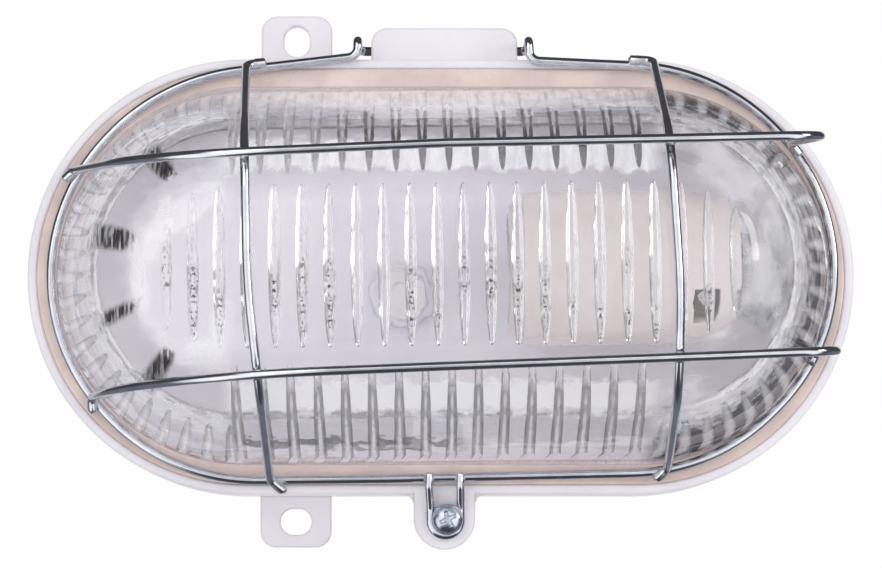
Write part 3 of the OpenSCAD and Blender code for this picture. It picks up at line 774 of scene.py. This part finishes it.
LOWER_PATH = on_oval([
    (-1, 39, -35.2, SIDE_Z, 0), (-1, 39.3, -31.5, WELD_Z, 2.2),
    (-1, 21.6, -28.7, BAR_Z, 62), (0, 0, -25.7, BAR_Z, 200), (1, 46.5, -21.9, BAR_Z, 9),
    (1, 46.2, -19.6, WELD_Z, 2.2), (1, 44.9, -22.6, SIDE_Z, 0)])
LEFT_PATH = on_oval([
    (-1, -5.2, 55.1, SIDE_Z, 0), (-1, -0.2, 54.4, SIDE_Z, 2.2),
    (-1, -1.8, 31, BAR_IN_Z, 20), (-1, -2.6, -6, BAR_IN_Z, 200),
    (-1, -5.6, -31, BAR_IN_Z, 20), (-1, -6.6, -52.7, WELD_Z, 2.2),
    (-1, -10.2, -55.6, SIDE_Z, 0)])
RIGHT_PATH = on_oval([
    (1, -1.8, 55.9, SIDE_Z, 0), (1, 4.3, 55.6, SIDE_Z, 2.2),
    (1, 5.2, 31, BAR_IN_Z, 20), (1, 7.7, -6, BAR_IN_Z, 200),
    (1, 7.2, -31, BAR_IN_Z, 20), (1, 7.6, -49.7, WELD_Z, 2.2),
    (1, 4.6, -52.6, SIDE_Z, 0)])
LOOP_PATH = [(SCREW_X + x, y, z, bend) for x, y, z, bend in (
    (LOOP_L - 0.4, LOOP_EDGE + 1.4, ON_RING, 0), (LOOP_L - 0.4, LOOP_EDGE - 2.2, ON_RING, 2),
    (LOOP_L, SCREW_Y + 2.6, ON_LUG, 3), (LOOP_L, LOOP_LOW, ON_LUG, 3.85),
    (LOOP_R, LOOP_LOW, ON_LUG, 3.85), (LOOP_R, SCREW_Y + 2.6, ON_LUG, 3),
    (LOOP_R - 0.1, LOOP_EDGE - 2.2, ON_RING, 2), (LOOP_R - 0.2, LOOP_EDGE + 1.4, ON_RING, 0))]

# Each wire's path, thickness and the length that is painted dark at both of its ends, as painted shade
WIRES = {
    # painted shade on the ring's ends where they run into the hinge boss
    "guard_ring": (RING_PATH, RING_WIRE, 6.5),
    "guard_bar_upper": (UPPER_PATH, BAR_WIRE, 0.0),
    "guard_bar_lower": (LOWER_PATH, BAR_WIRE, 0.0),
    "guard_bar_left": (LEFT_PATH, BAR_WIRE, 0.0),
    "guard_bar_right": (RIGHT_PATH, BAR_WIRE, 0.0),
    "guard_loop": (LOOP_PATH, LOOP_WIRE, 0.0),
}
for count, (name, (path, dia, dull)) in enumerate(WIRES.items()):
    wire = tube("wire_" + name, bend_route(path), dia, seed=count * 7.3 + 1.1, dull=dull)
    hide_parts(name)


# Welds: how far a bead sits toward the wall, and half its length, width and height
BAR_BEAD, LOOP_BEAD, CROSS_BEAD = (0.7, 2.3, 1.35, 1.35), (0.8, 1.5, 1.35, 1.2), (0.0, 1.5, 1.45, 1.0)
BEAD_SIDES, BEAD_ROWS = 14, 9
BEAD_UNEVEN = 0.22
FINE_STEP = 0.6           # distance between points where welds are looked for


def bead_mesh(seed, centre, along, sink, long, wide, high):
    """A lump of weld: a squashed ball with an uneven skin."""
    middle = centre - Vector((0, 0, sink))
    u = along.normalized()
    v = Vector((0, 0, 1)).cross(u).normalized()
    w = u.cross(v)
    verts = []
    for i in range(BEAD_ROWS + 1):
        a = math.pi * i / BEAD_ROWS
        for k in range(BEAD_SIDES):
            b = 2 * math.pi * k / BEAD_SIDES
            d = Vector((math.cos(a), math.sin(a) * math.cos(b), math.sin(a) * math.sin(b)))
            d *= 1 + BEAD_UNEVEN * noise.noise(d * 1.9 + Vector((seed, 0, 0)))
            verts.append(middle + u * d.x * long + v * d.y * wide + w * d.z * high)
    return verts, ring_faces(BEAD_ROWS + 1, BEAD_SIDES)


def cross_point(path_a, path_b):
    """Where two wires pass closest, seen from the front, and the first one's direction."""
    a, b = (even_route(bend_route(path), FINE_STEP) for path in (path_a, path_b))
    _, i, j = min(((p.xy - q.xy).length_squared, i, j) for i, p in enumerate(a) for j, q in enumerate(b))
    return (a[i] + b[j]) / 2, a[min(len(a) - 1, i + 2)] - a[max(0, i - 2)]


def end_point(path, last):
    """A little way in from a wire's end, and its direction there."""
    route = even_route(bend_route(path), FINE_STEP)
    if last:
        route.reverse()
    return route[3], route[0] - route[6]


def weld_spots():
    """The welds where the bars and the loop meet the ring and each other."""
    spots = []
    for path in (UPPER_PATH, LOWER_PATH, LEFT_PATH, RIGHT_PATH):
        spots += [end_point(path, last) + BAR_BEAD for last in (False, True)]
    spots += [end_point(LOOP_PATH, last) + LOOP_BEAD for last in (False, True)]
    for upright in (LEFT_PATH, RIGHT_PATH):
        spots += [cross_point(upright, bar) + CROSS_BEAD for bar in (UPPER_PATH, LOWER_PATH)]
    return spots


def weld_beads():
    verts, faces = [], []
    for count, spot in enumerate(weld_spots()):
        more_verts, more_faces = bead_mesh(count * 3.7, *spot)
        faces.extend(tuple(index + len(verts) for index in face) for face in more_faces)
        verts.extend(at(*v) for v in more_verts)
    beads = mesh_object("weld_beads", verts, faces, [MATS["weld_zinc"]])
    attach(beads, "guard")


weld_beads()


# Screw
SEAT_Z = BASE_D + LOOP_WIRE + 0.35          # under its head
HEAD_R, HEAD_H, SHANK_R = 4.0, 2.6, 1.65
SCREW_END = SEAT_Z - 9.55
SCREW_SIDES, HEAD_ROWS = 96, 34
PITCH, THREAD_D, THREAD_STEP = 0.8, 0.34, 0.11
POINT_SHARE, POINT_LONG = 0.55, 1.5         # its point: share of the full radius, and length
ARMS = [math.radians(a) for a in (21, 107, 205, 300)]
ARM_HALF, ARM_START, ARM_END, RECESS_D = 0.62, -0.4, 2.25, 1.5
ARM_TAPER, SIDE_SLOPE, END_SLOPE = 0.10, 0.16, 0.5


def recess(x, y):
    """Depth of the cross recess at a point of the head."""
    deepest = 0.0
    for a in ARMS:
        s, t = x * math.cos(a) + y * math.sin(a), abs(y * math.cos(a) - x * math.sin(a))
        if s > ARM_START:
            side = limited((ARM_HALF - t - ARM_TAPER * max(0.0, s)) / SIDE_SLOPE)
            tip = limited((ARM_END - s) / END_SLOPE)
            deepest = max(deepest, side * tip)
    return RECESS_D * deepest


def thread_rows():
    """Rows of radius and height up the threaded shank, tapered at its end."""
    rows = []
    z = SCREW_END
    while z < SEAT_Z - 0.3:
        taper = min(1.0, POINT_SHARE + (z - SCREW_END) / POINT_LONG)
        turns = [(z / PITCH + k / SCREW_SIDES) % 1 for k in range(SCREW_SIDES)]
        rows.append([((SHANK_R - THREAD_D * abs(2 * turn - 1)) * taper, z) for turn in turns])
        z += THREAD_STEP
    return rows


def head_rows():
    """Rows of radius and height from the shank out under the pan head and over it."""
    outline = [(SHANK_R - 0.1, SEAT_Z), (HEAD_R - 0.1, SEAT_Z), (HEAD_R + 0.02, SEAT_Z + 0.15)]
    for i in range(HEAD_ROWS):
        r = HEAD_R * (1 - (i / HEAD_ROWS)) ** 0.9
        rise = HEAD_H * math.sqrt(max(0.0, 1 - 0.985 * (r / HEAD_R) ** 2.6))
        outline.append((r, SEAT_Z + rise))
    return [[point] * SCREW_SIDES for point in outline]


def screw_mesh():
    """A pan head with a cross recess, and a threaded shank under it."""
    rows = thread_rows() + head_rows()
    verts = []
    for row in rows:
        for k, (r, z) in enumerate(row):
            a = 2 * math.pi * k / SCREW_SIDES
            x, y = r * math.cos(a), r * math.sin(a)
            drop = recess(x, y) if z > SEAT_Z + 0.5 else 0.0
            verts.append(at(SCREW_X + x, SCREW_Y + y, z - drop))
    faces = ring_faces(len(rows), SCREW_SIDES)
    faces.append(tuple(reversed(range(SCREW_SIDES))))
    centre = len(verts)
    top = centre - SCREW_SIDES
    verts.append(at(SCREW_X, SCREW_Y, SEAT_Z + HEAD_H - recess(0, 0)))
    faces.extend((top + k, top + (k + 1) % SCREW_SIDES, centre) for k in range(SCREW_SIDES))
    return verts, faces


screw = mesh_object("guard_screw_head", *screw_mesh(), [MATS["zinc_screw"]])
sharpen(screw, 40)
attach(screw, "screw")
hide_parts("guard_screw")


# Glass
def round_corners(points, radii, steps=8):
    """A polyline with its corners rounded to the given radii."""
    out = [Vector(points[0])]
    for i in range(1, len(points) - 1):
        a, b, c = Vector(points[i - 1]), Vector(points[i]), Vector(points[i + 1])
        u, v = (b - a).normalized(), (c - b).normalized()
        angle = u.angle(v, 0.0)
        r = radii.get(i, 0)
        if r <= 0 or angle < 0.01:
            out.append(b)
            continue
        trim = min(r * math.tan(angle / 2), (b - a).length * 0.48, (c - b).length * 0.48)
        for k in range(steps + 1):
            t = k / steps
            out.append((b - u * trim).lerp(b, t).lerp(b.lerp(b + v * trim, t), t))
    out.append(Vector(points[-1]))
    return out


# The glass's section: distance out from its middle line, height, and the corners' radii
FOOT_R = 46.0            # the inside of the foot, and the outer border of the ribbed inside
FOOT_Z = 20.15
WALL_R = 48.8            # the wall above the flange
OUTER = round_corners(
    [(52.2, FOOT_Z), (52.2, 23.25), (WALL_R, 23.25), (WALL_R, 25.7), (47.7, 28.5), (37.2, 58.9),
     (26.2, 72.9), (15.7, 75.5), (6.55, 76.3), (0, 76.5)],
    {1: 0.6, 2: 0.5, 3: 2, 4: 4, 5: 12, 6: 16, 7: 25, 8: 25})
INNER = round_corners(
    [(FOOT_R, 25.3), (44.9, 28.3), (34.3, 57.7), (24.3, 70.2), (15.7, 72.8), (6, 73.6), (0, 73.8)],
    {1: 4, 2: 10, 3: 14, 4: 25, 5: 25})

# The dome sits a little to the right and turned, as in the photo. Its flange and foot stay
# where the gasket holds them.
DOME_HALF = 51.9
DOME_RIGHT = 0.8
DOME_TURN = math.radians(0.8)
DOME_Z, DOME_EASE = 24.6, 4.4          # where the shift starts and how high it takes


def settled(x, y, z):
    """A point of the glass after the dome's small shift and turn."""
    w = limited((z - DOME_Z) / DOME_EASE)
    w = w * w * (3 - 2 * w)
    stretch = 1 + w * (DOME_HALF / HALF - 1) * min(1.0, abs(x) / HALF) * HALF / max(HALF, abs(x))
    a = DOME_TURN * w
    px = x * stretch
    return (px * math.cos(a) - y * math.sin(a) + DOME_RIGHT * w, px * math.sin(a) + y * math.cos(a), z)


def inner_at(r):
    """Height of the plain inside surface at distance r from the middle line, and its slope."""
    r = max(0.0, min(FOOT_R, r))
    for (r0, z0), (r1, z1) in zip(INNER, INNER[1:]):
        if r1 <= r <= r0:
            t = (r0 - r) / max(1e-6, r0 - r1)
            return z0 + (z1 - z0) * t, (z1 - z0) / max(1e-6, r0 - r1)
    return INNER[-1][1], 0.0


def spine(x, y):
    """Distance from the middle line, and the outward direction there."""
    d = Vector((x - max(-HALF, min(HALF, x)), y))
    return d.length, (d.normalized() if d.length > 1e-6 else Vector((0, 1)))


RIDGE = 0.30              # how much of a front rib's width is its flat ridge
RIB_TIP = 3.5             # length over which the other ribs fade at their tips


class Leaf:
    """One rib: a long raised leaf. blunt is small for parallel sides and a round tip, and
    a roofed leaf has two flat slopes with a flat ridge between them."""

    def __init__(self, centre, angle, length, width, height, blunt, roofed=False):
        self.centre = Vector(centre)
        self.along = Vector((math.cos(angle), math.sin(angle)))
        self.across = Vector((-math.sin(angle), math.cos(angle)))
        self.half, self.width, self.height = length / 2, width, height
        self.blunt, self.roofed = blunt, roofed

    def wide(self, s):
        """Half its width at distance s along it from its middle."""
        t = abs(s) / self.half
        return 0.0 if t >= 1 else self.width / 2 * (1 - t * t) ** self.blunt

    def local(self, p):
        d = p - self.centre
        return d.dot(self.along), d.dot(self.across)

    def rise(self, p):
        s, t = self.local(p)
        w = self.wide(s)
        if w < 1e-4 or abs(t) >= w:
            return 0.0
        u = abs(t) / w
        if self.roofed:
            return self.height * (2 * w / self.width) * min(1.0, (1 - u) / (1 - RIDGE))
        near_tip = min(1.0, (self.half - abs(s)) / RIB_TIP)
        return self.height * (1 - u * u) * min(1.0, 1.1 * (2 * w / self.width)) * near_tip ** 0.5


RIB_PITCH, RIB_SHIFT = 6.55, 1.2
FLANK_RIBS, END_RIBS, FRONT_RIBS = 16, 23, 24       # on each flank, round each end, in front
FLANK_SIZE = {"length": 52.6, "width": 3.0, "height": 0.62, "blunt": 0.36}
END_SIZE = {"length": 24.6, "width": 3.6, "height": 0.95, "blunt": 0.5}
FRONT_SIZE = {"width": 3.0, "height": 1.10, "blunt": 0.42, "roofed": True}
# A front rib is FRONT_SHARE times as long as half the chord of a circle, less FRONT_LESS
FRONT_R, FRONT_REACH, FRONT_SHARE, FRONT_LESS = 26.2, 24.7, 1.64, 3


def flank_ribs():
    for i in range(FLANK_RIBS):
        x = (i - FLANK_RIBS / 2) * RIB_PITCH + RIB_SHIFT
        for side in (-1, 1):
            yield Leaf((x, side * WALL_R), math.pi / 2, **FLANK_SIZE)


def end_ribs():
    for i in range(END_RIBS):
        for side in (-1, 1):
            a = (0 if side > 0 else math.pi) + math.pi * ((i + 0.5) / END_RIBS - 0.5)
            yield Leaf((side * HALF + WALL_R * math.cos(a), WALL_R * math.sin(a)), a, **END_SIZE)


def front_ribs():
    for i in range(FRONT_RIBS):
        x = (i - (FRONT_RIBS - 1) / 2) * RIB_PITCH + RIB_SHIFT
        past = max(0.0, abs(x) - HALF)
        if past < FRONT_REACH:
            length = FRONT_SHARE * math.sqrt(FRONT_R ** 2 - past * past) - FRONT_LESS
            yield Leaf((x, 0), math.pi / 2, length, **FRONT_SIZE)


LEAVES = [*flank_ribs(), *end_ribs(), *front_ribs()]
CELL = 6                  # of the grid in which nearby ribs are looked up
RIB_MARGIN = 0.22         # no point of the plain surface is nearer to a rib


def cell_of(p):
    return round(p.x / CELL), round(p.y / CELL)


def leaf_cells():
    """The ribs that pass through each cell of the grid."""
    cells = {}
    for leaf in LEAVES:
        for k in range(-14, 15):
            cells.setdefault(cell_of(leaf.centre + leaf.along * (leaf.half * k / 14)), set()).add(leaf)
    return cells


CELLS = leaf_cells()


def ribs_near(p):
    i, j = cell_of(p)
    return {leaf for di in (-1, 0, 1) for dj in (-1, 0, 1) for leaf in CELLS.get((i + di, j + dj), ())}


def clear_of_ribs(p):
    return all(abs(leaf.local(p)[1]) > leaf.wide(leaf.local(p)[0]) + RIB_MARGIN for leaf in ribs_near(p))


STRAIGHT_STEPS, END_STEPS = 91, 129      # steps along each straight side and round each end


def glass_stations():
    """Places round the oval: x on its middle line, and the angle outward from there."""
    stations = []
    for side in (1, -1):
        for k in range(STRAIGHT_STEPS):
            stations.append((side * HALF * (1 - 2 * k / STRAIGHT_STEPS), side * math.pi / 2))
        for k in range(END_STEPS):
            stations.append((-side * HALF, side * math.pi / 2 + math.pi * k / END_STEPS))
    return stations


STATIONS = glass_stations()


def oval(r):
    """Points in plan at distance r from the middle line, one for each station."""
    return [Vector((x + r * math.cos(a), r * math.sin(a))) for x, a in STATIONS]


ROOF_LINES = (-1.0, -0.65, -RIDGE, RIDGE, 0.65, 1.0)        # shares of a rib's half width
ROUND_LINES = (-1.0, -0.8, -0.5, -0.2, 0.2, 0.5, 0.8, 1.0)
LINE_STEP = 0.9           # the average distance between points along a line


def leaf_lines(leaf):
    """Lines along a rib that the mesh follows, as far as they lie inside the foot."""
    count = max(10, int(leaf.half * 2 / LINE_STEP))
    rows = []
    for k in range(count + 1):
        s = -leaf.half * math.cos(math.pi * k / count)
        middle = leaf.centre + leaf.along * s
        if spine(middle.x, middle.y)[0] < FOOT_R - 0.25:
            rows.append((s, leaf.wide(s)))
    for u in ROOF_LINES if leaf.roofed else ROUND_LINES:
        run = [leaf.centre + leaf.along * s + leaf.across * (u * max(w, 0.01)) for s, w in rows]
        run = [q for q in run if spine(q.x, q.y)[0] < FOOT_R - 0.2]
        if len(run) > 2:
            yield run


# Points of the plain surface: ovals inward, then a square grid
FILL_FIRST, FILL_LAST, FILL_STEP, INNER_STEP, INNER_R = 45.2, 20.4, 0.85, 1.1, 22
GRID_STEP, GRID_COLUMNS, GRID_ROWS, GRID_R = 1.15, 64, 17, 19.8


def fill_points():
    """Points between the ribs: oval by oval inward, then the grid in front."""
    points = []
    r = FILL_FIRST
    while r > FILL_LAST:
        points.extend(p for p in oval(r) if clear_of_ribs(p))
        r -= FILL_STEP if r > INNER_R else INNER_STEP
    for i in range(-GRID_COLUMNS, GRID_COLUMNS + 1):
        for j in range(-GRID_ROWS, GRID_ROWS + 1):
            p = Vector((i * GRID_STEP, j * GRID_STEP))
            if spine(p.x, p.y)[0] < GRID_R and clear_of_ribs(p):
                points.append(p)
    return points


def inside_plan():
    """The points and faces of the ribbed inside, in plan."""
    points = oval(FOOT_R)
    lines = [(k, (k + 1) % len(STATIONS)) for k in range(len(STATIONS))]
    for leaf in LEAVES:
        for run in leaf_lines(leaf):
            start = len(points)
            points.extend(run)
            lines.extend((start + k, start + k + 1) for k in range(len(run) - 1))
    points.extend(fill_points())
    flat, _, faces = delaunay_2d_cdt(points, lines, [], 1, 1e-4)[:3]
    return flat, [tuple(face) for face in faces]


FULL_RISE = 0.6           # from here up the material takes a point as all rib


def inside_point(p):
    """The point of the ribbed inside over a point in plan, and how far it is part of a rib."""
    r, out = spine(p.x, p.y)
    z, slope = inner_at(r)
    rise = max((leaf.rise(p) for leaf in ribs_near(p)), default=0.0)
    rise *= limited((FOOT_R - 0.1 - r) / 0.7)
    normal = Vector((slope, 1.0)).normalized()
    x, y = p.x - out.x * normal.x * rise, p.y - out.y * normal.x * rise
    return at(*settled(x, y, z - normal.y * rise)), min(1.0, rise / FULL_RISE)


def outside_profile():
    """Down the inside of the foot, under the flange and over the outside, in even steps."""
    corners = [(FOOT_R, 22.5), (FOOT_R, 20.5), (46.3, FOOT_Z)] + [tuple(v) for v in OUTER]
    profile = [corners[0]]
    for a, b in zip(corners, corners[1:]):
        count = max(1, round(math.dist(a, b) / 3.0))
        profile.extend((a[0] + (b[0] - a[0]) * k / count, a[1] + (b[1] - a[1]) * k / count)
                       for k in range(1, count + 1))
    return profile


def close_outside(verts, faces, rim):
    """Adds the foot, the flange and the outside to the inside, from its rim on."""
    profile = outside_profile()
    around = len(STATIONS)
    last = rim
    for r, z in profile[:-1]:
        ring = range(len(verts), len(verts) + around)
        verts.extend(at(*settled(q.x, q.y, z)) for q in oval(r))
        for k in range(around):
            n = (k + 1) % around
            faces.append((last[k], last[n], ring[n], ring[k]))
        last = ring
    crest = {}
    for x in sorted({round(station[0], 6) for station in STATIONS}):
        crest[x] = len(verts)
        verts.append(at(*settled(x, 0, profile[-1][1])))
    for k in range(around):
        n = (k + 1) % around
        a, b = crest[round(STATIONS[k][0], 6)], crest[round(STATIONS[n][0], 6)]
        faces.append((last[k], last[n], b, a) if a != b else (last[k], last[n], a))


def glass_mesh():
    """Points and faces of the glass, and how far each point of its inside is part of a rib."""
    flat, faces = inside_plan()
    verts, ribbed = [list(column) for column in zip(*(inside_point(p) for p in flat))]
    found = {(round(p.x, 2), round(p.y, 2)): index for index, p in enumerate(flat)}
    rim = [found[(round(q.x, 2), round(q.y, 2))] for q in oval(FOOT_R)]
    close_outside(verts, faces, rim)
    return verts, faces, ribbed


def join_and_face_outward(obj):
    """Joins doubled points and turns all faces outward."""
    bm = bmesh.new()
    bm.from_mesh(obj.data)
    bmesh.ops.remove_doubles(bm, verts=bm.verts, dist=2e-6)
    bmesh.ops.recalc_face_normals(bm, faces=bm.faces)
    bm.to_mesh(obj.data)
    bm.free()


verts, faces, ribbed = glass_mesh()
glass = mesh_object("glass_bowl", verts, faces, [MATS["clear_glass"]])
rib_mask = glass.data.attributes.new("rib", "FLOAT", "POINT")
inside_mask = glass.data.attributes.new("inside", "FLOAT", "POINT")
for index, value in enumerate(ribbed):
    rib_mask.data[index].value = value
    inside_mask.data[index].value = 1.0
join_and_face_outward(glass)
sharpen(glass, 16)
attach(glass, "housing")
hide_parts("glass")
